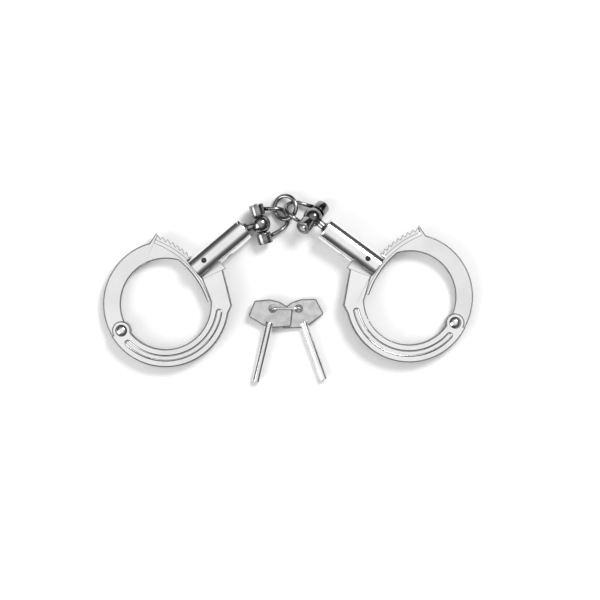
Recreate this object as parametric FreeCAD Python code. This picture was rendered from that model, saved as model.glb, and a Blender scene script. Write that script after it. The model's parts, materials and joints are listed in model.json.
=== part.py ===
import FreeCAD, Part
import math
import os

# Handcuffs with barrel locks. Millimetres, +Z up, lying on the plane Z = 0.
# Each cuff is built in its own frame: origin on the bow's pivot, +X along the lock barrel
# towards the chain, +Y towards the bow, Z across the plates. The cuffs, the ball studs, the
# shackles and the ring are then placed around the centre ring, and the keys below them.

V = FreeCAD.Vector
Rotation = FreeCAD.Rotation
Placement = FreeCAD.Placement
ORIGIN = V(0, 0, 0)
X_AXIS = V(1, 0, 0)
Y_AXIS = V(0, 1, 0)
Z_AXIS = V(0, 0, 1)

# --- wrist ring -------------------------------------------------------------------------
RING_IN_R = 30.6          # inside of the wrist ring
RING_WIDTH = 12.0         # radial width of the plates
RING_OUT_R = RING_IN_R + RING_WIDTH
PIVOT_IN = 4.3            # the pivot's distance outside the ring's inner edge
RING_C_DIST = RING_IN_R + PIVOT_IN        # ring centre from the pivot
RING_C_DEG = -9.0         # its direction, from the barrel's axis
BOW_T = 3.0
CHEEK_T = 2.5
SIDE_GAP = 0.2            # between the bow and each cheek
EYE_R = 6.3               # round end of the cheeks at the pivot
EYE_STEP = 0.3            # the bow's eye is this much smaller
GAP_Z = BOW_T / 2 + SIDE_GAP
FACE_Z = GAP_Z + CHEEK_T
PLATE_ROUND = 0.45        # rolled-over outline of every pressed plate
CUT_MORE = 1.0            # how far a cutting shape runs past the face it opens
CLOSE = 1e-5
UPRIGHT = 0.9             # an edge whose unit direction has more Z than this stands upright

# --- ratchet teeth, on an arc about the pivot -------------------------------------------
TIP_BEYOND = 3.4          # the tooth tips' distance outside the ring's inner edge
TOOTH_TIP_R = RING_C_DIST + RING_IN_R + TIP_BEYOND
TOOTH_DEPTH = 1.9
TOOTH_ROOT_R = TOOTH_TIP_R - TOOTH_DEPTH
TOOTH_PITCH_DEG = 3.22
TOOTH_COUNT = 15
TOOTH_RISE = 0.76         # share of a pitch taken by the ramp
TOOTH_LAND = 0.08         # share of a pitch taken by the flat tip
TOOTH_STEEP_DEG = 0.4     # the steep side's lean
SHOULDER_DEG = 30.2       # where the row of teeth ends in a stop
SHOULDER_STEP = 1.3       # how far the stop stands above the tips
SHOULDER_LEAN_DEG = 0.2
ARM_WIDTH = 7.9           # toothed arm, from the tips to its inner edge
TIP_LEAD_DEG = 3.4        # plain end beyond the last tooth
RIM_T = 2.2               # thinned rim that carries the teeth
RIM_STEP_R = TOOTH_TIP_R - 3.7
RIM_SLOPE_R = RIM_STEP_R - 2.0
SLOPE_NEAR = 0.3
OUTLINE_MIN = 3.0
RIM_OVERRUN_DEG = 2.0     # the thinned rim's cut starts this far before the arm's tip
RIM_STOP_DEG = 0.6        # and ends this far before the shoulder
RAMP_FOOT_DEG = 65.0      # where the shoulder's ramp meets the ring, about the ring's centre
RAMP_LAP_DEG = 8.0        # how far the ramp runs into the ring
WEB_LAP = 1.0             # how far the metal behind the shoulder runs into the arm
WEB_LEAN_DEG = 4.0        # and where it does, below the shoulder
WEB_START_DEG = 8.0
RIGHT_NOTCHES_OPEN = 1    # the right bow stands this many notches further open

# --- lock barrel ------------------------------------------------------------------------
BARREL_R = 8.5
BARREL_START = TOOTH_TIP_R - 4.9
BARREL_LEN = 44.8
BARREL_END = BARREL_START + BARREL_LEN
CAP_FLANGE = 2.5
CAP_ROUND = 1.1
BARREL_ROUND = 0.5        # at the barrel's open end
SLOT_CLEAR = 0.4          # between the tooth tips and the slot's floor
SLOT_FLOOR = TOOTH_TIP_R + SLOT_CLEAR
BOLT_R = 5.5
SLIDE_FIT = 0.06
NOSE_W = 8.8
NOSE_T = 2 * (GAP_Z - SIDE_GAP)
NOSE_LEN = 3.1            # flat blade in front of the round bolt, beyond the slot's floor
MESH_CLEAR = 0.15         # between bolt teeth and bow teeth when locked
TIP_CLEAR = 0.3           # between them when the bolt is drawn back
BOLT_TRAVEL = TOOTH_DEPTH - MESH_CLEAR + TIP_CLEAR
BOLT_BODY_START = SLOT_FLOOR + NOSE_LEN
CAP_DEPTH = 10.3          # how far the end cap reaches into the barrel
CAP_BACK = BARREL_END - CAP_DEPTH
SPRING_ROOM = 6.5         # between the drawn-back bolt and the end cap
BOLT_BACK = CAP_BACK - SPRING_ROOM
SPIGOT_R = 2.6
SPIGOT_LEN = 2.6
SPRING_WIRE = 1.0
SPRING_R = 4.1            # to the middle of the wire
SPRING_TURNS = 3.6
SPRING_STEPS = 16         # points a turn on the path of the wire
SPRING_END_GAP = 0.25
PIN_X = BOLT_BODY_START + 1.0
PIN_R = 1.85
PIN_SINK = 0.45           # guide pins end below the barrel's surface
PIN_BITE = 0.8            # how far they reach into the bolt's keyways
KEYWAY_CLEAR = 0.12
KEYHOLE_X = BOLT_BACK - 3.6
KEYHOLE_CLEAR = 0.2
KEY_POCKET_DEPTH = 5.1
SADDLE_START = BARREL_START + 1.0         # pressed fillet between each cheek and the barrel
SADDLE_END = BARREL_START + 16.6
SADDLE_NARROW = 1.4
SADDLE_WIDE = 5.6
SADDLE_LOW = 0.6          # its height above the cheek at the two ends, as a share
SADDLE_HIGH = 0.82        # of the barrel's radius
SADDLE_SAG = 0.28         # how hollow it is: 0 is a flat slope
SADDLE_ROOT = 0.8         # how deep it runs into the cheek and the barrel

# --- cheek outline beside the barrel -----------------------------------------------------
FLARE_CORNER = V(BARREL_START + 3.9, -0.82 * RING_OUT_R, 0)
FLARE_MID = V(BARREL_START + 9.8, -0.54 * RING_OUT_R, 0)
FLARE_TOP = V(BARREL_START + 15.2, -BARREL_R - 2.9, 0)
FLARE_ROOT = V(BARREL_START + 18.2, 2.5 - BARREL_R, 0)
FLARE_START_DEG = -49.0   # about the ring's centre
FLARE_LAP = 1.0           # how far the flare runs into the band
FLARE_LAP_DEG = 8.0
KINK_DEG = -37.4          # where the band's inner edge turns towards the barrel
CHEEK_LIP = 0.3           # the barrel's open end stands this far beyond the cheeks' edge
INNER_TOP_Y = 0.3 - BARREL_R
GROOVE_R = 36.6
GROOVE_W = 3.9
GROOVE_DEPTH = 0.8
GROOVE_ROUND = 0.6        # between its floor and its walls
GROOVE_FROM_DEG = -174.0
GROOVE_TO_DEG = -48.5

# --- pivot rivet -------------------------------------------------------------------------
RIVET_R = 2.6
RIVET_FIT = 0.06
RIVET_HEAD_R = 3.6
RIVET_HEAD_H = 1.5
SPOT_DEPTH = 0.35         # each head sits in a shallow round seat in the cheek
SPOT_GAP = 0.15

# --- ball swivel --------------------------------------------------------------------------
SOCKET_X = BARREL_END - 2.4               # centre of the inner ball
SOCKET_BALL_R = 4.6
SOCKET_FIT = 0.05
COLLAR_R = 5.5
COLLAR_LIP = 1.3          # how far the collar closes over the ball
COLLAR_REACH = 5.6        # from the ball's centre to the collar's back
CAP_WALL = 1.15
SEAT_T = 1.6
MOUTH_R = 4.25            # narrow enough to hold the ball, wide enough for the neck's tilt
MOUTH_FLARE = 0.5
MOUTH_LIP = 1.0
MOUTH_BEVEL = 0.6
LIP_CLEAR = 0.1
NECK_R = 2.7
STUD_LEN = 13.06          # between the two ball centres
BALL_R = 6.5
BALL_FLAT = 6.0           # half the width across the lug flats
PIN_CROSS_R = 2.0
LUG_R = 4.9
LUG_L = 7.4
LUG_GAP = 0.22            # between the ball's flat and the lug
LUG_FIT = 0.05
LUG_MID = BALL_FLAT + LUG_GAP + LUG_L / 2
PIN_HEAD = 0.6            # riveted end of the cross pin, outside the lug
PIN_CHAMFER = 0.4
LUG_ROUND = 0.5

# --- shackle and ring ----------------------------------------------------------------------
SHACKLE_WIRE_R = 1.4
SHACKLE_REACH = 20.1      # from the pin's axis to the middle of the bend
SHACKLE_BEND_R = 7.2
LEG_ROOT = 3.0            # legs start this far from the pin's axis, inside the lugs
RING_R = 7.95             # centre ring, to the middle of its wire
RING_WIRE_R = 1.5

# --- how it lies -----------------------------------------------------------------------------
LEFT_YAW = 40.0
RIGHT_YAW = 144.0
LEFT_STUD_RISE = -6.5
RIGHT_STUD_RISE = 3.2
RING_LEAN = V(-0.391, -0.008, 0.920)
LEFT_PIN_DIR = (105.0, 7.0)          # azimuth and rise of the cross pin
LEFT_SHACKLE_DIR = (17.5, -20.0)
RIGHT_PIN_DIR = (229.6, 39.5)
RIGHT_SHACKLE_DIR = (153.3, -15.9)
LEFT_BEND_AT = V(0.197, -0.740, -0.367)   # middle of each bend from the ring's centre,
RIGHT_BEND_AT = V(0.175, 0.186, 0.230)    # in ring radii

# --- keys ---------------------------------------------------------------------------------------
KEY_SHANK_R = 2.7
KEY_SHANK_LEN = 41.5
KEY_SHANK_LAP = 1.6       # how far the shank grips the bow
KEY_END_ROUND = 0.6
KEY_BORE_R = 1.6
KEY_BORE_DEEP = 8.0
KEY_CAM_LEN = 2.6
KEY_BOW_T = 2.0
KEY_BOW_ROUND = 1.6
KEY_HOLE_U = 11.0
KEY_HOLE_R = 2.6
KEY_EDGE_U = (-1.6, 2.0, 13.4, 16.6)      # corners of the bow along the shank's axis
KEY_EDGE_V = (3.2, 14.8, 13.2, 3.4)       # and across it
KEY_RING_WIRE_R = 0.9
KEY_1_YAW = 76.9
KEY_2_YAW = 109.5
KEY_RISE_1 = 6.3          # height of each bow's middle at its hole
KEY_RISE_2 = 3.45
KEY_HOLES_APART = 18.5
KEYS_FROM_RING = V(0.4, -68.6, 0)         # middle of the key ring from the centre ring
KEY_RING_Z = 4.95
KEY_RING_BEND = 3.9


def polar(r, deg, z=0.0):
    a = math.radians(deg)
    return V(r * math.cos(a), r * math.sin(a), z)


RING_C = polar(RING_C_DIST, RING_C_DEG)


def on_ring(r, deg, z=0.0):
    return RING_C + polar(r, deg, z)


def face_of(edges):
    return Part.Face(Part.Wire(Part.__sortEdges__(edges)))


def polygon(points):
    return Part.Face(Part.makePolygon(list(points) + [points[0]]))


def prism(face, low, high):
    solid = face.extrude(V(0, 0, high - low))
    solid.translate(V(0, 0, low))
    return solid


def x_cylinder(r, start, end):
    return Part.makeCylinder(r, end - start, V(start, 0, 0), X_AXIS)


def round_edges(edges):
    """The edges that are whole circles."""
    return [e for e in edges if len(e.Vertexes) == 1]


def edges_at(solid, z):
    """The edges that lie in the plane at height z."""
    return [e for e in solid.Edges if all(abs(v.Z - z) < CLOSE for v in e.Vertexes)]


def upright_edges(solid):
    """The straight edges along Z."""
    return [e for e in solid.Edges if abs(e.tangentAt(e.FirstParameter).z) > UPRIGHT]


def ball(r, x):
    """A sphere on the X axis, with its poles on that axis."""
    return Part.makeSphere(r, V(x, 0, 0), X_AXIS)


def arc_band(inner, outer, start_deg, end_deg):
    """A flat band about the ring's centre, counter-clockwise from start to end."""
    mid = (start_deg + end_deg) / 2
    outside = Part.Arc(on_ring(outer, start_deg), on_ring(outer, mid), on_ring(outer, end_deg))
    inside = Part.Arc(on_ring(inner, start_deg), on_ring(inner, mid), on_ring(inner, end_deg))
    ends = [Part.LineSegment(on_ring(inner, a), on_ring(outer, a)) for a in (start_deg, end_deg)]
    return face_of([outside.toShape(), inside.toShape()] + [e.toShape() for e in ends])


def disc(r, centre=ORIGIN):
    return Part.Face(Part.Wire(Part.makeCircle(r, centre)))


def tooth_points(swell=0.0):
    """The row of teeth from its low end to the shoulder, grown by swell on every side."""
    swell_deg = math.degrees(swell / TOOTH_TIP_R)
    first = SHOULDER_DEG - TOOTH_COUNT * TOOTH_PITCH_DEG
    points = []
    for i in range(TOOTH_COUNT):
        at = first + i * TOOTH_PITCH_DEG
        points.append(polar(TOOTH_ROOT_R + swell, at - swell_deg))
        tip = at + TOOTH_RISE * TOOTH_PITCH_DEG
        points.append(polar(TOOTH_TIP_R + swell, tip - swell_deg))
        land = tip + TOOTH_LAND * TOOTH_PITCH_DEG
        points.append(polar(TOOTH_TIP_R + swell, land + swell_deg))
        foot = at + TOOTH_PITCH_DEG - swell_deg
        steep = land + 2 * swell_deg + TOOTH_STEEP_DEG
        points.append(polar(TOOTH_ROOT_R + swell, min(foot, steep)))
    return points


def bow_shape():
    """The single toothed strand."""
    tip_deg = SHOULDER_DEG - TOOTH_COUNT * TOOTH_PITCH_DEG - TIP_LEAD_DEG
    arm_in = TOOTH_TIP_R - ARM_WIDTH
    arm_edge = [polar(arm_in, tip_deg + k * (SHOULDER_DEG - tip_deg) / 2) for k in range(3)]
    inner_arc = Part.Arc(arm_edge[2], arm_edge[1], arm_edge[0]).toShape()
    row = tooth_points()
    shoulder = polar(TOOTH_TIP_R + SHOULDER_STEP, SHOULDER_DEG + SHOULDER_LEAN_DEG)
    outline = [polar(TOOTH_ROOT_R - TOOTH_DEPTH, tip_deg)] + row + [shoulder, arm_edge[2]]
    edges = [Part.LineSegment(a, b).toShape() for a, b in zip(outline, outline[1:])]
    edges.append(inner_arc)
    edges.append(Part.LineSegment(arm_edge[0], outline[0]).toShape())
    arm = face_of(edges)
    pivot_deg = 180 + RING_C_DEG
    strand = arc_band(RING_IN_R, RING_OUT_R, RAMP_FOOT_DEG, pivot_deg)
    web_points = [
        on_ring(RING_IN_R, RAMP_FOOT_DEG + RAMP_LAP_DEG),
        on_ring(RING_OUT_R, RAMP_FOOT_DEG + RAMP_LAP_DEG),
        on_ring(RING_OUT_R, RAMP_FOOT_DEG),
        shoulder,
        polar(arm_in + WEB_LAP, SHOULDER_DEG - WEB_LEAN_DEG),
        polar(arm_in + WEB_LAP, WEB_START_DEG),
    ]
    web = polygon(web_points).cut(disc(RING_IN_R, RING_C))
    # the upper half of its thickness is finished first, then mirrored
    half = prism(arm, 0, BOW_T / 2)
    for piece in (strand, web, disc(EYE_R - EYE_STEP)):
        half = half.fuse(prism(piece, 0, BOW_T / 2))
    half = half.removeSplitter().cut(rim_step(tip_deg)).removeSplitter()
    half = half.makeFillet(PLATE_ROUND, [e for e in edges_at(half, BOW_T / 2) if is_outline(e)])
    plate = half.fuse(half.mirror(ORIGIN, Z_AXIS)).removeSplitter()
    return plate.cut(prism(disc(RIVET_R + RIVET_FIT), -BOW_T, BOW_T))


def is_outline(edge):
    """Is this edge part of the strand's outline, and not of the rim's slope or a short corner?"""
    on_slope = [v for v in edge.Vertexes if abs(v.Point.Length - RIM_SLOPE_R) < SLOPE_NEAR]
    return edge.Length > OUTLINE_MIN and not on_slope


def rim_step(tip_deg):
    """What the thinned rim loses on its upper face: a ring of trapezoid section."""
    far = TOOTH_TIP_R + SHOULDER_STEP + CUT_MORE
    start_deg = tip_deg - RIM_OVERRUN_DEG
    above = BOW_T / 2 + CUT_MORE
    section = [
        V(RIM_SLOPE_R, 0, BOW_T / 2),
        V(RIM_STEP_R, 0, RIM_T / 2),
        V(far, 0, RIM_T / 2),
        V(far, 0, above),
        V(RIM_SLOPE_R, 0, above),
    ]
    swept = polygon(section).revolve(ORIGIN, Z_AXIS, SHOULDER_DEG - RIM_STOP_DEG - start_deg)
    swept.rotate(ORIGIN, Z_AXIS, start_deg)
    return swept


def cheek_faces():
    """Outline of a cheek but for its eye: half of the ring, and the flare to the barrel."""
    start = 180 + RING_C_DEG
    stop = 360 + KINK_DEG
    band = arc_band(RING_IN_R, RING_OUT_R, start, stop)
    flare_points = [
        on_ring(RING_IN_R + FLARE_LAP, 360 + KINK_DEG - FLARE_LAP_DEG),
        on_ring(RING_OUT_R, 360 + FLARE_START_DEG),
        FLARE_CORNER,
        FLARE_MID,
        FLARE_TOP,
        FLARE_ROOT,
        V(BARREL_START + CHEEK_LIP, FLARE_ROOT.y, 0),
        V(BARREL_START + CHEEK_LIP, INNER_TOP_Y, 0),
        on_ring(RING_IN_R, KINK_DEG),
    ]
    return [band, polygon(flare_points)]


def groove_solid():
    """The pressed channel with round ends, as the metal it takes out of the outer face."""
    half = GROOVE_W / 2
    band = arc_band(GROOVE_R - half, GROOVE_R + half, GROOVE_FROM_DEG, GROOVE_TO_DEG)
    ends = [disc(half, on_ring(GROOVE_R, a)) for a in (GROOVE_FROM_DEG, GROOVE_TO_DEG)]
    low = FACE_Z - GROOVE_DEPTH
    solid = prism(band, low, FACE_Z + CUT_MORE)
    for end in ends:
        solid = solid.fuse(prism(end, low, FACE_Z + CUT_MORE))
    solid = solid.removeSplitter()
    return solid.makeFillet(GROOVE_ROUND, edges_at(solid, low))


def saddle_section(x, width, height):
    """Hollow fillet between the cheek's outer face and the barrel's side, across the barrel."""
    foot_y = -math.sqrt(BARREL_R ** 2 - FACE_Z ** 2)
    foot = V(x, foot_y - width, FACE_Z)
    top = V(x, -math.sqrt(BARREL_R ** 2 - height ** 2), height)
    corner = V(x, foot_y, FACE_Z)
    mid = (foot + top) * ((1 - SADDLE_SAG) / 2) + corner * SADDLE_SAG
    root = V(x, foot_y + SADDLE_ROOT, FACE_Z - SADDLE_ROOT)
    heel = V(x, foot.y, FACE_Z - SADDLE_ROOT)
    crown = V(x, top.y + SADDLE_ROOT, height)
    edges = [
        Part.Arc(foot, mid, top).toShape(),
        Part.LineSegment(top, crown).toShape(),
        Part.LineSegment(crown, root).toShape(),
        Part.LineSegment(root, heel).toShape(),
        Part.LineSegment(heel, foot).toShape(),
    ]
    return Part.Wire(edges)


def front_cheek_shape():
    blanks = [prism(face, GAP_Z, FACE_Z) for face in cheek_faces()]
    plate = blanks[0].fuse(blanks[1:]).removeSplitter()
    plate = plate.makeFillet(PLATE_ROUND, edges_at(plate, FACE_Z))
    eye = prism(disc(EYE_R), GAP_Z, FACE_Z)
    eye = eye.makeFillet(PLATE_ROUND, edges_at(eye, FACE_Z))
    plate = plate.fuse(eye).removeSplitter().cut(groove_solid())
    narrow = saddle_section(SADDLE_START, SADDLE_NARROW, SADDLE_LOW * BARREL_R)
    wide = saddle_section(SADDLE_END, SADDLE_WIDE, SADDLE_HIGH * BARREL_R)
    plate = plate.fuse(Part.makeLoft([narrow, wide], True, True))
    plate = plate.cut(x_cylinder(BARREL_R, BARREL_START - CUT_MORE, BARREL_END))
    plate = plate.cut(prism(disc(RIVET_R), 0, FACE_Z + CUT_MORE))
    plate = plate.cut(prism(disc(RIVET_HEAD_R + SPOT_GAP), FACE_Z - SPOT_DEPTH, FACE_Z + CUT_MORE))
    return plate.removeSplitter()


def rear_cheek_shape():
    return front_cheek_shape().mirror(ORIGIN, Z_AXIS)


def rivet_shape():
    """A shank with a domed head on each side."""
    seat_z = FACE_Z - SPOT_DEPTH
    shank = Part.makeCylinder(RIVET_R, 2 * seat_z, V(0, 0, -seat_z))
    dome_r = (RIVET_HEAD_R ** 2 + RIVET_HEAD_H ** 2) / (2 * RIVET_HEAD_H)
    whole = Part.makeSphere(dome_r, V(0, 0, FACE_Z + RIVET_HEAD_H - dome_r))
    room = Part.makeCylinder(2 * dome_r, dome_r, V(0, 0, FACE_Z))
    head = whole.common(room).fuse(Part.makeCylinder(RIVET_HEAD_R, SPOT_DEPTH, V(0, 0, seat_z)))
    rivet = shank.fuse([head, head.mirror(ORIGIN, Z_AXIS)])
    return rivet.removeSplitter()


def barrel_shape():
    tube_end = BARREL_END - CAP_FLANGE
    bore_start = BOLT_BODY_START - BOLT_TRAVEL - MESH_CLEAR
    barrel = x_cylinder(BARREL_R, BARREL_START, tube_end)
    rims = [e for e in round_edges(barrel.Edges) if e.CenterOfMass.x < BARREL_START + CLOSE]
    barrel = barrel.makeFillet(BARREL_ROUND, rims)
    cuts = [
        Part.makeBox(
            SLOT_FLOOR - BARREL_START + CUT_MORE, 4 * BARREL_R, 2 * GAP_Z,
            V(BARREL_START - CUT_MORE, -2 * BARREL_R, -GAP_Z),
        ),
        Part.makeBox(
            bore_start - SLOT_FLOOR + 2 * CUT_MORE, NOSE_W + 4 * SLIDE_FIT, 2 * GAP_Z,
            V(SLOT_FLOOR - CUT_MORE, -NOSE_W / 2 - 2 * SLIDE_FIT, -GAP_Z),
        ),
        x_cylinder(BOLT_R + SLIDE_FIT, bore_start, tube_end + CUT_MORE),
        x_cylinder(COLLAR_R + SOCKET_FIT + CAP_WALL, CAP_BACK, tube_end + CUT_MORE),
        Part.makeCylinder(PIN_R, 4 * BARREL_R, V(PIN_X, 0, -2 * BARREL_R)),
        Part.makeCylinder(
            KEY_SHANK_R + KEYHOLE_CLEAR, BARREL_R, V(KEYHOLE_X, -BARREL_R - CUT_MORE, 0), Y_AXIS
        ),
    ]
    for cut in cuts:
        barrel = barrel.cut(cut)
    return barrel


def guide_pins_shape():
    length = BARREL_R - PIN_SINK - (BOLT_R - PIN_BITE)
    pin = Part.makeCylinder(PIN_R, length, V(PIN_X, 0, BOLT_R - PIN_BITE))
    return Part.makeCompound([pin, pin.mirror(ORIGIN, Z_AXIS)])


def bolt_shape():
    """Round bolt, drawn back: toothed blade in front, keyways, key pocket, spring spigot."""
    locked_front = TOOTH_ROOT_R + MESH_CLEAR
    blade = Part.makeBox(
        BOLT_BODY_START - BOLT_TRAVEL - locked_front + 2 * CUT_MORE, NOSE_W, NOSE_T,
        V(locked_front - CUT_MORE, -NOSE_W / 2, -NOSE_T / 2),
    )
    row = tooth_points(MESH_CLEAR)
    teeth = prism(polygon([ORIGIN] + row), -BOW_T, BOW_T)
    blade = blade.cut(teeth)
    blade = max(blade.Solids, key=lambda s: s.Volume)
    blade.translate(V(BOLT_TRAVEL, 0, 0))
    bolt = x_cylinder(BOLT_R, BOLT_BODY_START, BOLT_BACK)
    spigot = x_cylinder(SPIGOT_R, BOLT_BACK - CUT_MORE, BOLT_BACK + SPIGOT_LEN)
    bolt = bolt.fuse([blade, spigot])
    keyway_half = PIN_R + KEYWAY_CLEAR
    keyway_end = PIN_X + BOLT_TRAVEL + keyway_half
    for side in (-1, 1):
        depth = PIN_BITE + KEYWAY_CLEAR
        low = BOLT_R - depth if side > 0 else -BOLT_R
        keyway = Part.makeBox(
            keyway_end - BOLT_BODY_START + CUT_MORE, 2 * keyway_half, depth,
            V(BOLT_BODY_START - CUT_MORE, -keyway_half, low),
        )
        bolt = bolt.cut(keyway)
    pocket_r = KEY_SHANK_R + KEYHOLE_CLEAR
    pocket = Part.makeBox(
        2 * pocket_r + BOLT_TRAVEL, KEY_POCKET_DEPTH + CUT_MORE, 2 * pocket_r,
        V(KEYHOLE_X - pocket_r, -BOLT_R - CUT_MORE, -pocket_r),
    )
    return bolt.cut(pocket).removeSplitter()


def spring_shape():
    start = BOLT_BACK + SPRING_WIRE / 2 + SPRING_END_GAP
    end = CAP_BACK - SPRING_WIRE / 2 - SPRING_END_GAP
    pitch = (end - start) / SPRING_TURNS
    steps = int(SPRING_TURNS * SPRING_STEPS)
    turns = [SPRING_TURNS * i / steps for i in range(steps + 1)]
    helix = Part.BSplineCurve()
    helix.interpolate([polar(SPRING_R, 360 * t, pitch * t) for t in turns])
    wire = Part.Wire(Part.makeCircle(SPRING_WIRE / 2, V(SPRING_R, 0, 0), helix.tangent(0)[0]))
    coil = Part.Wire(helix.toShape()).makePipeShell([wire], True, False)
    coil.rotate(ORIGIN, Y_AXIS, 90)
    coil.translate(V(start, 0, 0))
    return coil


def end_cap_shape():
    flange_start = BARREL_END - CAP_FLANGE
    flange = x_cylinder(BARREL_R, flange_start, BARREL_END)
    rims = [e for e in flange.Edges if e.CenterOfMass.x > BARREL_END - CAP_ROUND]
    flange = flange.makeFillet(CAP_ROUND, round_edges(rims))
    plug = x_cylinder(COLLAR_R + SOCKET_FIT + CAP_WALL, CAP_BACK, flange_start)
    cap = flange.fuse(plug).removeSplitter()
    cap = cap.cut(x_cylinder(COLLAR_R + SOCKET_FIT, CAP_BACK - CUT_MORE, BARREL_END - MOUTH_LIP))
    cap = cap.cut(ball(SOCKET_BALL_R + LIP_CLEAR, SOCKET_X))
    mouth = Part.makeCone(
        MOUTH_R, MOUTH_R + MOUTH_FLARE, MOUTH_BEVEL, V(BARREL_END - MOUTH_BEVEL, 0, 0), X_AXIS
    )
    return cap.cut(mouth)


def spring_seat_shape():
    return x_cylinder(COLLAR_R + SOCKET_FIT, CAP_BACK, CAP_BACK + SEAT_T)


def collar_shape():
    """The cup that holds the inner ball and turns in the end cap."""
    cup = x_cylinder(COLLAR_R, SOCKET_X - COLLAR_REACH, SOCKET_X + COLLAR_LIP)
    return cup.cut(ball(SOCKET_BALL_R + SOCKET_FIT, SOCKET_X))


def stud_shape():
    """Inner ball, neck and outer ball, in the stud's frame: +X outwards, +Y along the pin."""
    stud = ball(SOCKET_BALL_R, 0)
    stud = stud.fuse(x_cylinder(NECK_R, 0, STUD_LEN))
    stud = stud.fuse(ball(BALL_R, STUD_LEN))
    for side in (-1, 1):
        block = Part.makeBox(
            4 * BALL_R, 2 * BALL_R, 4 * BALL_R, V(STUD_LEN - 2 * BALL_R, -BALL_R, -2 * BALL_R)
        )
        block.translate(V(0, side * (BALL_FLAT + BALL_R), 0))
        stud = stud.cut(block)
    hole = Part.makeCylinder(PIN_CROSS_R, 4 * BALL_R, V(STUD_LEN, -2 * BALL_R, 0), Y_AXIS)
    return stud.cut(hole).removeSplitter()


def cross_pin_shape():
    half = LUG_MID + LUG_L / 2 + PIN_HEAD
    pin = Part.makeCylinder(PIN_CROSS_R, 2 * half, V(STUD_LEN, -half, 0), Y_AXIS)
    return pin.makeChamfer(PIN_CHAMFER, round_edges(pin.Edges))


def lug_blank(side, r, more):
    """A cylinder on the cross pin's axis, as long as a lug and more at both ends."""
    start = side * LUG_MID - LUG_L / 2 - more
    return Part.makeCylinder(r, LUG_L + 2 * more, V(0, start, 0), Y_AXIS)


def lugs_shape():
    """Two lugs on the cross pin, in the shackle's frame: +X to the bend, +Y along the pin."""
    lugs = []
    for side in (-1, 1):
        lug = lug_blank(side, LUG_R, 0)
        lug = lug.makeFillet(LUG_ROUND, round_edges(lug.Edges))
        lugs.append(lug.cut(lug_blank(side, PIN_CROSS_R + LUG_FIT, CUT_MORE)))
    return Part.makeCompound(lugs)


def shackle_shape():
    """Round wire bent to a U: two legs that lean in to a half-round bend."""
    bend_x = SHACKLE_REACH - SHACKLE_BEND_R
    root = V(LEG_ROOT, LUG_MID, 0)
    out = math.hypot(root.x - bend_x, root.y)
    lean = math.atan2(root.y, root.x - bend_x) - math.acos(SHACKLE_BEND_R / out)
    touch = V(bend_x + SHACKLE_BEND_R * math.cos(lean), SHACKLE_BEND_R * math.sin(lean), 0)
    other_touch = V(touch.x, -touch.y, 0)
    other_root = V(root.x, -root.y, 0)
    path = Part.Wire([
        Part.LineSegment(root, touch).toShape(),
        Part.Arc(touch, V(SHACKLE_REACH, 0, 0), other_touch).toShape(),
        Part.LineSegment(other_touch, other_root).toShape(),
    ])
    ring = Part.Wire(Part.makeCircle(SHACKLE_WIRE_R, root, touch - root))
    wire = path.makePipeShell([ring], True, True)
    for side in (-1, 1):
        wire = wire.cut(lug_blank(side, LUG_R, CUT_MORE))
    return wire


def ring_shape():
    return Part.makeTorus(RING_R, RING_WIRE_R)


def key_bow_shape():
    """Flat six-sided bow in the key's frame: +X from the shank to the bow, origin at its foot."""
    corners = [V(u, v, 0) for u, v in zip(KEY_EDGE_U, KEY_EDGE_V)]
    corners += [V(p.x, -p.y, 0) for p in reversed(corners)]
    plate = prism(polygon(corners), -KEY_BOW_T / 2, KEY_BOW_T / 2)
    plate = plate.makeFillet(KEY_BOW_ROUND, upright_edges(plate))
    rims = edges_at(plate, KEY_BOW_T / 2) + edges_at(plate, -KEY_BOW_T / 2)
    plate = plate.makeFillet(PLATE_ROUND, rims)
    hole = Part.makeCylinder(KEY_HOLE_R, 2 * KEY_BOW_T, V(KEY_HOLE_U, 0, -KEY_BOW_T))
    return plate.cut(hole)


def key_shank_shape():
    """Round shank with a hollow end whose lower lip is cut away to a cam."""
    shank = x_cylinder(KEY_SHANK_R, KEY_SHANK_LAP - KEY_SHANK_LEN, KEY_SHANK_LAP)
    shank = shank.makeFillet(KEY_END_ROUND, round_edges(shank.Edges))
    end = KEY_SHANK_LAP - KEY_SHANK_LEN
    shank = shank.cut(x_cylinder(KEY_BORE_R, end - CUT_MORE, end + KEY_BORE_DEEP))
    lip = Part.makeBox(
        KEY_CAM_LEN + CUT_MORE, 4 * KEY_SHANK_R, 2 * KEY_SHANK_R,
        V(end - CUT_MORE, -2 * KEY_SHANK_R, -2 * KEY_SHANK_R),
    )
    return shank.cut(lip).cut(key_bow_shape())


def key_ring_shape():
    """Oval of round wire, its long axis along X and its short axis upright."""
    half = KEY_HOLES_APART / 2
    bend_x = half - KEY_RING_BEND
    b = KEY_RING_BEND
    path = Part.Wire([
        Part.LineSegment(V(-bend_x, 0, b), V(bend_x, 0, b)).toShape(),
        Part.Arc(V(bend_x, 0, b), V(half, 0, 0), V(bend_x, 0, -b)).toShape(),
        Part.LineSegment(V(bend_x, 0, -b), V(-bend_x, 0, -b)).toShape(),
        Part.Arc(V(-bend_x, 0, -b), V(-half, 0, 0), V(-bend_x, 0, b)).toShape(),
    ])
    ring = Part.Wire(Part.makeCircle(KEY_RING_WIRE_R, V(-bend_x, 0, b), X_AXIS))
    return path.makePipeShell([ring], True, True)


def direction(azimuth, rise):
    return polar(math.cos(math.radians(rise)), azimuth, math.sin(math.radians(rise)))


def square_to(wanted, fixed):
    """The unit vector nearest to wanted that is at right angles to fixed."""
    flat = wanted - fixed * wanted.dot(fixed)
    return flat.normalize()


def frame_at(origin, x_dir, y_dir):
    return Placement(origin, Rotation(x_dir, y_dir, x_dir.cross(y_dir), "XYZ"))


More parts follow.
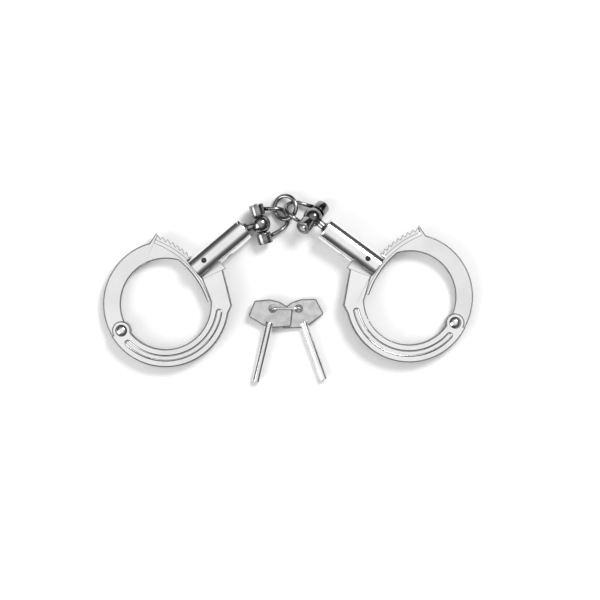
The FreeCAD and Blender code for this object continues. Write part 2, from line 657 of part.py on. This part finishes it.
def cuff_placements():
    """Left and right cuff frames, and where the studs, shackles, ring and keys go."""
    rest_z = FACE_Z + RIVET_HEAD_H
    # left: lies on the rivet's lower head and on the barrel's open end
    left_pitch = math.atan2(BARREL_R - rest_z, BARREL_START)
    left_turn = Rotation(LEFT_YAW, -math.degrees(left_pitch), 0)
    left_axis = left_turn.multVec(X_AXIS)
    left_pivot_z = rest_z * math.cos(left_pitch)
    left_pin = direction(*LEFT_PIN_DIR)
    stud_az = LEFT_PIN_DIR[0] - 90
    left_stud = square_to(direction(stud_az, LEFT_STUD_RISE), left_pin)
    left_shackle = square_to(direction(*LEFT_SHACKLE_DIR), left_pin)
    left_ball_z = left_pivot_z + left_axis.z * SOCKET_X + left_stud.z * STUD_LEN
    ring_z = left_ball_z + left_shackle.z * SHACKLE_REACH - LEFT_BEND_AT.z * RING_R
    ring = V(0, 0, ring_z)
    left_ball = ring + LEFT_BEND_AT * RING_R - left_shackle * SHACKLE_REACH
    left_socket = left_ball - left_stud * STUD_LEN
    left_pivot = left_socket - left_axis * SOCKET_X
    # right: lies flipped over, on the rivet's lower head and on its lower lug
    right_pin = direction(*RIGHT_PIN_DIR)
    right_shackle = square_to(direction(*RIGHT_SHACKLE_DIR), right_pin)
    right_ball = ring + RIGHT_BEND_AT * RING_R - right_shackle * SHACKLE_REACH
    right_stud = square_to(direction(RIGHT_YAW, RIGHT_STUD_RISE), right_pin)
    right_socket = right_ball - right_stud * STUD_LEN
    slant = math.hypot(rest_z, SOCKET_X)
    right_pitch = math.asin(right_socket.z / slant) - math.atan2(rest_z, SOCKET_X)
    right_turn = Rotation(RIGHT_YAW, -math.degrees(right_pitch), 180)
    right_pivot = right_socket - right_turn.multVec(X_AXIS) * SOCKET_X
    keys = ring + KEYS_FROM_RING
    keys.z = KEY_RING_Z
    return {
        "left": Placement(left_pivot, left_turn),
        "left_stud": frame_at(left_socket, left_stud, left_pin),
        "left_shackle": frame_at(left_ball, left_shackle, left_pin),
        "right": Placement(right_pivot, right_turn),
        "right_stud": frame_at(right_socket, right_stud, right_pin),
        "right_shackle": frame_at(right_ball, right_shackle, right_pin),
        "ring": Placement(ring, Rotation(Z_AXIS, RING_LEAN)),
        "key_ring": Placement(keys, Rotation()),
        "key_1": key_placement(keys, -1, KEY_1_YAW, KEY_RISE_1),
        "key_2": key_placement(keys, 1, KEY_2_YAW, KEY_RISE_2),
    }


def key_placement(ring_mid, side, yaw, rise):
    """A key whose hole hangs on one end of the key ring and whose shank lies on the plane."""
    reach = KEY_HOLE_U + KEY_SHANK_LEN - KEY_SHANK_LAP
    pitch = math.asin((rise - KEY_SHANK_R) / reach)
    turn = Rotation(yaw, -math.degrees(pitch), 0)
    hole = V(ring_mid.x + side * (KEY_HOLES_APART / 2 - KEY_RING_WIRE_R / 2), ring_mid.y, rise)
    return Placement(hole - turn.multVec(V(KEY_HOLE_U, 0, 0)), turn)


def cuff_parts(side):
    """The pieces of one cuff in its own frame, by name."""
    bow = bow_shape()
    if side == "right":
        bow.rotate(ORIGIN, Z_AXIS, RIGHT_NOTCHES_OPEN * TOOTH_PITCH_DEG)
    return {
        "front_cheek": front_cheek_shape(),
        "rear_cheek": rear_cheek_shape(),
        "bow": bow,
        "pivot_rivet": rivet_shape(),
        "barrel": barrel_shape(),
        "guide_pins": guide_pins_shape(),
        "lock_bolt": bolt_shape(),
        "bolt_spring": spring_shape(),
        "spring_seat": spring_seat_shape(),
        "end_cap": end_cap_shape(),
        "swivel_collar": collar_shape(),
    }


def all_nodes():
    """Every piece where it lies, by node name, before the origin is set."""
    places = cuff_placements()
    nodes = {}
    for side in ("left", "right"):
        for name, shape in cuff_parts(side).items():
            nodes[f"{side}_{name}"] = placed(shape, places[side])
        nodes[f"{side}_ball_stud"] = placed(stud_shape(), places[f"{side}_stud"])
        nodes[f"{side}_cross_pin"] = placed(cross_pin_shape(), places[f"{side}_stud"])
        nodes[f"{side}_shackle"] = placed(shackle_shape(), places[f"{side}_shackle"])
        nodes[f"{side}_shackle_lugs"] = placed(lugs_shape(), places[f"{side}_shackle"])
    nodes["centre_ring"] = placed(ring_shape(), places["ring"])
    nodes["key_ring"] = placed(key_ring_shape(), places["key_ring"])
    for key in ("key_1", "key_2"):
        nodes[f"{key}_bow"] = placed(key_bow_shape(), places[key])
        nodes[f"{key}_shank"] = placed(key_shank_shape(), places[key])
    return nodes, places


def placed(shape, place):
    moved = shape.copy()
    moved.Placement = place.multiply(moved.Placement)
    return moved


def to_origin(nodes):
    """The shift that puts the origin at the bottom centre of the whole object's box."""
    box = FreeCAD.BoundBox()
    for shape in nodes.values():
        box.add(shape.optimalBoundingBox(False))
    return V(-box.Center.x, -box.Center.y, -box.ZMin)


def main():
    os.makedirs("parts", exist_ok=True)
    nodes, _ = all_nodes()
    shift = to_origin(nodes)
    for name, shape in nodes.items():
        shape.translate(shift)
        shape.exportStep(f"parts/{name}.step")
        print(f"{name}: {shape.Volume:.1f} mm3, valid {shape.isValid()}")


if __name__ == "__main__":
    main()
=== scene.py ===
# %% [markdown]
# # A pair of handcuffs with barrel locks, lying on a table with their two keys
#
# The solid model already knows where every piece is and how it moves. This lesson loads it as
# a fixed frame and gives it its looks: nickel and chrome finishes made of nodes, painted shade
# along edges, in grooves and at the barrel ends, a soft studio, and a camera above the table.

import json
import math

import bmesh
import bpy
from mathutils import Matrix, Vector


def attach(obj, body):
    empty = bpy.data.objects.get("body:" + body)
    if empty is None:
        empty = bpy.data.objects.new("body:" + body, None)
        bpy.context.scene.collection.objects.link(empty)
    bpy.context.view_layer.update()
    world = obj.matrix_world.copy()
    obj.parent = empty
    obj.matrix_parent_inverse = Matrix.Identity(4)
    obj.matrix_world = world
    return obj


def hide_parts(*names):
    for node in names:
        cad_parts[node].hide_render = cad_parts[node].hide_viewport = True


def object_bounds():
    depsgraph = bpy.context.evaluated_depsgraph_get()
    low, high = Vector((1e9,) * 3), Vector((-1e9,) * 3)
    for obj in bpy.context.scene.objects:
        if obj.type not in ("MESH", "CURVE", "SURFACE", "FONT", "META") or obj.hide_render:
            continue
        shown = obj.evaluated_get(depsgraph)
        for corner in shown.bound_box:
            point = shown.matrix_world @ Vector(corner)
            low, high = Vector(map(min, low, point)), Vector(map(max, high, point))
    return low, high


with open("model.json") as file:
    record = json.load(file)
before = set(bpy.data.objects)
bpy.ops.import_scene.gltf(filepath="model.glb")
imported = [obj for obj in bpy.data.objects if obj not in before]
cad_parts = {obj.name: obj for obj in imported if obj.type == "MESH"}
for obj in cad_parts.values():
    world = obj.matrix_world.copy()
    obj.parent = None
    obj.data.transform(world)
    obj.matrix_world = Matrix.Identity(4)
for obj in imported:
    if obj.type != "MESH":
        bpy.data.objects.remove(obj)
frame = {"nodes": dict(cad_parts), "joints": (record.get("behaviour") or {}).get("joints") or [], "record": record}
cad_box = [list(corner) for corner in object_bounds()]
joints = {j["name"]: j for j in frame["joints"]}
MM = 0.001

# %% [markdown]
# ## The camera
#
# The pieces lie flat, so the view that explains them best is from almost straight above. A
# long lens keeps the two wrist rings the same shape.

# %% Camera
SEEN_WIDTH = 0.408        # how much of the table the frame's width shows
CAMERA_FAR = 1.25         # from the aim point
CAMERA_RISE = math.radians(88.0)
LOOK_AT = Vector((8.06 * MM, -8.0 * MM, 0.0))
SENSOR = 36.0

camera = bpy.data.objects.new("camera", bpy.data.cameras.new("camera"))
camera.data.sensor_width = SENSOR
camera.data.lens = SENSOR * CAMERA_FAR / SEEN_WIDTH
away = Vector((0, -math.cos(CAMERA_RISE), math.sin(CAMERA_RISE)))
camera.location = LOOK_AT + CAMERA_FAR * away
camera.rotation_euler = (math.pi / 2 - CAMERA_RISE, 0, 0)
bpy.context.scene.collection.objects.link(camera)
bpy.context.scene.camera = camera
print("lens", round(camera.data.lens, 1), "at", tuple(round(c, 3) for c in camera.location))

# %% [markdown]
# ## The studio
#
# Polished metal has hardly any colour of its own. It shows the room. A white sky straight
# above makes flat plates pale, and a darker band near the horizon draws the dark lines down
# the sides of every round piece, so the world is a gradient from dark walls to a white ceiling.

# %% Sky and view
# each stop is the height of the direction, from 0 at the horizon to 1 overhead, and its grey
SKY = [(0.0, 0.07), (0.45, 0.09), (0.66, 0.20), (0.80, 0.66), (0.90, 1.0)]
SKY_STRENGTH = 0.95

scene = bpy.context.scene
scene.view_settings.view_transform = "Standard"
world = bpy.data.worlds.new("studio")
scene.world = world
world.use_nodes = True
nodes, links = world.node_tree.nodes, world.node_tree.links
where = nodes.new("ShaderNodeTexCoord")
split = nodes.new("ShaderNodeSeparateXYZ")
ramp = nodes.new("ShaderNodeValToRGB")
links.new(where.outputs["Generated"], split.inputs[0])
links.new(split.outputs["Z"], ramp.inputs[0])
links.new(ramp.outputs["Color"], nodes["Background"].inputs["Color"])
stops = ramp.color_ramp.elements
while len(stops) < len(SKY):
    stops.new(0.5)
for stop, (at, tone) in zip(stops, SKY):
    stop.position = at
    stop.color = (tone, tone, tone, 1)
nodes["Background"].inputs["Strength"].default_value = SKY_STRENGTH
print("sky stops", len(stops))

# %% Table and lamps
def linked(name, data):
    piece = bpy.data.objects.new(name, data)
    scene.collection.objects.link(piece)
    return piece


def lamp(name, at, size, power):
    """A square soft lamp that points at the middle of the table."""
    light = bpy.data.lights.new(name, "AREA")
    light.size = size
    light.energy = power
    piece = linked(name, light)
    piece.location = at
    piece.rotation_euler = (-Vector(at)).to_track_quat("-Z", "Y").to_euler()
    return piece


TABLE_HALF = 1.6
TABLE_GAP = 0.02 * MM     # keeps the table off the lowest points of the metal
KEY_AT, KEY_SIZE, KEY_POWER = (0.55, 0.62, 1.05), 0.45, 11.0
FILL_AT, FILL_SIZE, FILL_POWER = (-1.50, -0.85, 1.15), 1.4, 24.0

table_mesh = bpy.data.meshes.new("table")
bm = bmesh.new()
bmesh.ops.create_grid(bm, x_segments=1, y_segments=1, size=TABLE_HALF)
bm.to_mesh(table_mesh)
bm.free()
table = linked("table", table_mesh)
table.location.z = cad_box[0][2] - TABLE_GAP
lamp("key_lamp", KEY_AT, KEY_SIZE, KEY_POWER)
lamp("fill_lamp", FILL_AT, FILL_SIZE, FILL_POWER)
print("table and two lamps")

# %% [markdown]
# ## Finishes
#
# All of the metal is nickel or chrome plate, so one recipe serves: a metallic shader whose
# grey, roughness and fine relief come from noise. What changes from piece to piece is how
# much polishing it had: the barrels were turned and buffed, the plates were pressed and only
# brightened, and the key bows were tumbled, which leaves them faintly mottled. Dark lines along
# edges, in grooves and at the barrel ends are painted shade: the dark room mirrored in the
# rounds and the shade in the hollows. A piece that has them reads from an attribute how much of
# that painted dark grey to mix into its colour.

# %% Metal recipe
EDGE_DULL = 0.35          # how much rougher the faces with painted edge shade are than the flat beside them
GRAIN_SWING = 0.04        # how far the fine grain moves the roughness, up and down
GRAIN_DETAIL = 5.0
BUMP_HEIGHT = 0.3 * MM


def new_material(name):
    material = bpy.data.materials.new(name)
    material.use_nodes = True
    return material, material.node_tree.nodes, material.node_tree.links


def add_noise(nodes, links, coords, scale, detail=3.0, squeeze=(1, 1, 1), turn=(0, 0, 0)):
    """Noise on the object's own coordinates, squeezed and turned by a Mapping node."""
    mapping = nodes.new("ShaderNodeMapping")
    mapping.inputs["Scale"].default_value = squeeze
    mapping.inputs["Rotation"].default_value = turn
    noise = nodes.new("ShaderNodeTexNoise")
    noise.inputs["Scale"].default_value = scale
    noise.inputs["Detail"].default_value = detail
    links.new(coords, mapping.inputs["Vector"])
    links.new(mapping.outputs["Vector"], noise.inputs["Vector"])
    return noise.outputs["Fac"]


def spread(nodes, links, value, low, high, start=0.35, stop=0.65):
    """Stretches a noise value to run from low to high."""
    ranged = nodes.new("ShaderNodeMapRange")
    ranged.inputs["From Min"].default_value = start
    ranged.inputs["From Max"].default_value = stop
    ranged.inputs["To Min"].default_value = low
    ranged.inputs["To Max"].default_value = high
    links.new(value, ranged.inputs["Value"])
    return ranged.outputs["Result"]


def mix_colours(nodes, links, how_much, first, second):
    """A colour between two. first may be a colour or another node's output."""
    mixed = nodes.new("ShaderNodeMixRGB")
    links.new(how_much, mixed.inputs["Fac"])
    if isinstance(first, tuple):
        mixed.inputs["Color1"].default_value = (*first, 1)
    else:
        links.new(first, mixed.inputs["Color1"])
    mixed.inputs["Color2"].default_value = (*second, 1)
    return mixed.outputs["Color"]


def scale_and_add(nodes, links, value, scale, added):
    """value * scale + added, where value and added are outputs of other nodes."""
    sum_node = nodes.new("ShaderNodeMath")
    sum_node.operation = "MULTIPLY_ADD"
    sum_node.inputs[1].default_value = scale
    links.new(value, sum_node.inputs[0])
    links.new(added, sum_node.inputs[2])
    return sum_node.outputs[0]


def metal(name, dark, light, rough, grain, blotch=90.0, relief=0.02, squeeze=(1, 1, 1),
          turn=(0, 0, 0), painted_edge_shade=None):
    """Plated steel. dark and light are greys, and rough is the roughness at each of them.
    grain and blotch are the scales of the fine and the broad noise. The last argument, when
    given, is the dark grey painted as shade on edges, groove walls and barrel ends."""
    material, nodes, links = new_material(name)
    shader = nodes["Principled BSDF"]
    shader.inputs["Metallic"].default_value = 1.0
    coords = nodes.new("ShaderNodeTexCoord").outputs["Object"]
    broad = add_noise(nodes, links, coords, blotch)
    fine = add_noise(nodes, links, coords, grain, GRAIN_DETAIL, squeeze, turn)
    colour = mix_colours(nodes, links, spread(nodes, links, broad, 0.0, 1.0), dark, light)
    swing = spread(nodes, links, fine, -GRAIN_SWING, GRAIN_SWING)
    roughness = scale_and_add(nodes, links, swing, 1.0, spread(nodes, links, broad, *rough))
    # painted shade: where the attribute marks edges, groove walls and barrel ends, the dark grey goes into the
    # colour
    if painted_edge_shade:
        edges = nodes.new("ShaderNodeAttribute")
        edges.attribute_name = "painted_edge_shade"
        colour = mix_colours(nodes, links, edges.outputs["Fac"], colour, painted_edge_shade)
        roughness = scale_and_add(nodes, links, edges.outputs["Fac"], EDGE_DULL, roughness)
    links.new(colour, shader.inputs["Base Color"])
    links.new(roughness, shader.inputs["Roughness"])
    bump = nodes.new("ShaderNodeBump")
    bump.inputs["Strength"].default_value = relief
    bump.inputs["Distance"].default_value = BUMP_HEIGHT
    links.new(fine, bump.inputs["Height"])
    links.new(bump.outputs["Normal"], shader.inputs["Normal"])
    return material


def grey(value):
    return (value, value, value)


def yaw_of(joint):
    """The compass direction of a joint's axis, about Z."""
    axis = joints[joint]["axis"]
    return math.atan2(axis[1], axis[0])


# %% The metals
SATIN = (0.15, 0.20)
BRIGHT = (0.10, 0.18)
DULL = (0.30, 0.42)
TURNED = (14.0, 1.0, 1.0)   # tool marks run round the barrel, so the noise is short along it
# painted shade: near-black grey for the edges and groove walls of plates and bows
PLATE_EDGE_SHADE = grey(0.06)

plate_metal = metal(
    "satin_nickel_plate", grey(0.80), grey(0.88), SATIN, 900.0, 40.0, 0.010, painted_edge_shade=PLATE_EDGE_SHADE
)
bow_metal = metal(
    "satin_nickel_bow", grey(0.78), grey(0.86), SATIN, 900.0, 40.0, 0.010, painted_edge_shade=PLATE_EDGE_SHADE
)
barrel_metal = {}
# painted shade: the barrels' 0.05 grey goes on their end rounds, for the dark lip at each end
for side in ("left", "right"):
    barrel_metal[side] = metal(
        f"turned_nickel_{side}", grey(0.84), grey(0.92), (0.09, 0.15), 500.0, relief=0.012,
        squeeze=TURNED, turn=(0, 0, -yaw_of(f"{side}_swivel_spin")), painted_edge_shade=grey(0.05),
    )
# painted shade: the chain's greys are set low for the shade and dark reflections among its links
painted_shade_chain_metal = metal("chain_chrome_painted_shade", grey(0.15), grey(0.38), (0.06, 0.14), 700.0, 160.0)
pin_metal = metal("rivet_nickel", grey(0.74), grey(0.86), (0.12, 0.22), 800.0)
# painted shade: the guide pins are near black for the dark dot they make in the barrel's side
guide_pin_shade_metal = metal("guide_pin_steel_painted_shade", grey(0.03), grey(0.08), DULL, 800.0)
lock_metal = metal("lock_steel", grey(0.36), grey(0.50), DULL, 800.0)
# painted shade: the key bows' 0.12 grey goes along their edges
key_bow_metal = metal(
    "tumbled_nickel", grey(0.50), grey(0.60), (0.26, 0.40), 900.0, 200.0, 0.15, painted_edge_shade=grey(0.12)
)
key_shank_metal = metal("key_shank_nickel", grey(0.78), grey(0.90), BRIGHT, 900.0)
key_ring_metal = metal("key_ring_wire", grey(0.74), grey(0.88), BRIGHT, 900.0)
print("metals", len(bpy.data.materials))

# %% Paper for the table
PAPER_SCALE = 60.0
PAPER_DETAIL = 4.0
PAPER_ROUGHNESS = 0.9
PAPER_SPECULAR = 0.1      # paper hardly mirrors the lamps

table_material, nodes, links = new_material("table_paper")
table_coords = nodes.new("ShaderNodeTexCoord").outputs["Object"]
table_noise = add_noise(nodes, links, table_coords, PAPER_SCALE, PAPER_DETAIL)
paper = nodes["Principled BSDF"]
paper_colour = mix_colours(nodes, links, table_noise, grey(0.90), grey(0.93))
links.new(paper_colour, paper.inputs["Base Color"])
paper.inputs["Roughness"].default_value = PAPER_ROUGHNESS
paper.inputs["Specular IOR Level"].default_value = PAPER_SPECULAR
table_mesh.materials.append(table_material)
print("materials", len(bpy.data.materials))

# %% [markdown]
# ## Painted edge shade
#
# A pressed plate has no knife edge: the die rolls its outline over by a few tenths of a
# millimetre. Those rounds mirror the dark walls of the room, and the walls of grooves and steps
# lie in shade, so that dark is painted into their colour here. Each piece starts from a merged
# copy of its solid, coplanar triangles are dissolved, and edges sharper than an angle stay crisp
# in the shading. On the flat pieces the flats get a narrow inset rim. The rim and the faces that
# slope just below a big flat are marked for the shader to paint dark. A barrel gets the same
# painted dark lip at its two ends.

# %% Copy a solid and finish it
EDGE_SHADE_DEPTH = 0.62 * MM    # how far below a flat the faces painted with edge shade can reach
RIM = 0.30 * MM
FLAT_COS = math.cos(math.radians(12))   # a face tilted less than this belongs to the flat
SAME_WAY = 0.9999         # the cosine of two directions that count as one
MERGE_WITHIN = 0.002 * MM
COPLANAR = math.radians(0.4)


def add_rims(bm, across):
    """Insets every flat that faces along across; returns the narrow faces of the rims."""
    flats = [f for f in bm.faces if abs(f.normal.dot(across)) > SAME_WAY]
    made = bmesh.ops.inset_region(
        bm, faces=flats, thickness=RIM, depth=0.0, use_even_offset=False, use_boundary=True
    )
    return made["faces"]


def mark_painted_edge_shade(bm, across=None):
    """Marks rims, and faces that slope close to the two outermost flats, for painted shade.
    Returns how many.
    """
    layer = bm.faces.layers.float.new("painted_edge_shade")
    rims = []
    if across is None:
        across = max(bm.faces, key=lambda f: f.calc_area()).normal.copy()
        rims = add_rims(bm, across)
    for face in rims:
        face[layer] = 1.0
    count = len(rims)
    levels = []
    for way in (across, -across):
        facing = [f for f in bm.faces if f.normal.dot(way) > SAME_WAY]
        if facing:
            biggest = max(facing, key=lambda f: f.calc_area())
            levels.append((way, biggest.calc_center_median().dot(way)))
    for face in bm.faces:
        if abs(face.normal.dot(across)) > FLAT_COS:
            continue
        centre = face.calc_center_median()
        if any(0 < level - centre.dot(way) < EDGE_SHADE_DEPTH for way, level in levels):
            face[layer] = 1.0
            count += 1
    return count


def finished(node, body, material, crisp, painted_edge_shade, across=None):
    """A clean copy of a CAD node, which stands for it. Edges over crisp degrees stay sharp."""
    bm = bmesh.new()
    bm.from_mesh(frame["nodes"][node].data)
    bmesh.ops.remove_doubles(bm, verts=bm.verts, dist=MERGE_WITHIN)
    bmesh.ops.dissolve_limit(bm, angle_limit=COPLANAR, verts=bm.verts, edges=bm.edges)
    # painted shade: marks the edge, groove and barrel end faces that the shader paints dark
    marked = mark_painted_edge_shade(bm, across) if painted_edge_shade else 0
    mesh = bpy.data.meshes.new(f"{node}_finished")
    bm.to_mesh(mesh)
    bm.free()
    mesh.polygons.foreach_set("use_smooth", [True] * len(mesh.polygons))
    mesh.set_sharp_from_angle(angle=math.radians(crisp))
    mesh.materials.append(material)
    piece = linked(f"{node}_finished", mesh)
    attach(piece, body)
    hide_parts(node)
    print(piece.name, len(mesh.polygons), "faces,", marked, "painted_edge_shade")
    return piece


body_of = {n: b for b, members in frame["record"]["behaviour"]["bodies"].items() for n in members}

# %% Plates, bows, barrels and chain
# each row is the metal, the angle over which edges stay sharp, and whether edges get painted shade
for side in ("left", "right"):
    looks = {
        "front_cheek": (plate_metal, 20.0, True),
        "rear_cheek": (plate_metal, 20.0, True),
        "bow": (bow_metal, 20.0, True),
        "barrel": (barrel_metal[side], 30.0, True),
        "end_cap": (barrel_metal[side], 30.0, False),
        "pivot_rivet": (pin_metal, 35.0, False),
        "ball_stud": (painted_shade_chain_metal, 30.0, False),
        "cross_pin": (pin_metal, 30.0, False),
        "shackle": (painted_shade_chain_metal, 40.0, False),
        "shackle_lugs": (painted_shade_chain_metal, 30.0, False),
    }
    barrel_axis = Vector(joints[f"{side}_swivel_spin"]["axis"])
    for name, (material, crisp, painted_edge_shade) in looks.items():
        node = f"{side}_{name}"
        across = barrel_axis if name == "barrel" else None
        finished(node, body_of[node], material, crisp, painted_edge_shade, across)

# %% Ring and keys
for node, material, crisp, painted_edge_shade in (
    ("centre_ring", painted_shade_chain_metal, 40.0, False),
    ("key_ring", key_ring_metal, 40.0, False),
    ("key_1_bow", key_bow_metal, 25.0, True),
    ("key_2_bow", key_bow_metal, 25.0, True),
    ("key_1_shank", key_shank_metal, 30.0, False),
    ("key_2_shank", key_shank_metal, 30.0, False),
):
    finished(node, body_of[node], material, crisp, painted_edge_shade)

# %% [markdown]
# ## What stays as it is
#
# The bolt, its spring and seat, the guide pins and the swivel's cup are mostly hidden inside
# the barrel. Their solids are right, so they stay, and only get their metal.

# %% Metal for the hidden pieces
hidden = {
    "lock_bolt": lock_metal,
    "bolt_spring": lock_metal,
    "spring_seat": lock_metal,
    "guide_pins": guide_pin_shade_metal,
    "swivel_collar": lock_metal,
}
for side in ("left", "right"):
    for name, material in hidden.items():
        mesh = frame["nodes"][f"{side}_{name}"].data
        mesh.materials.clear()
        mesh.materials.append(material)
print("kept solids", 2 * len(hidden))
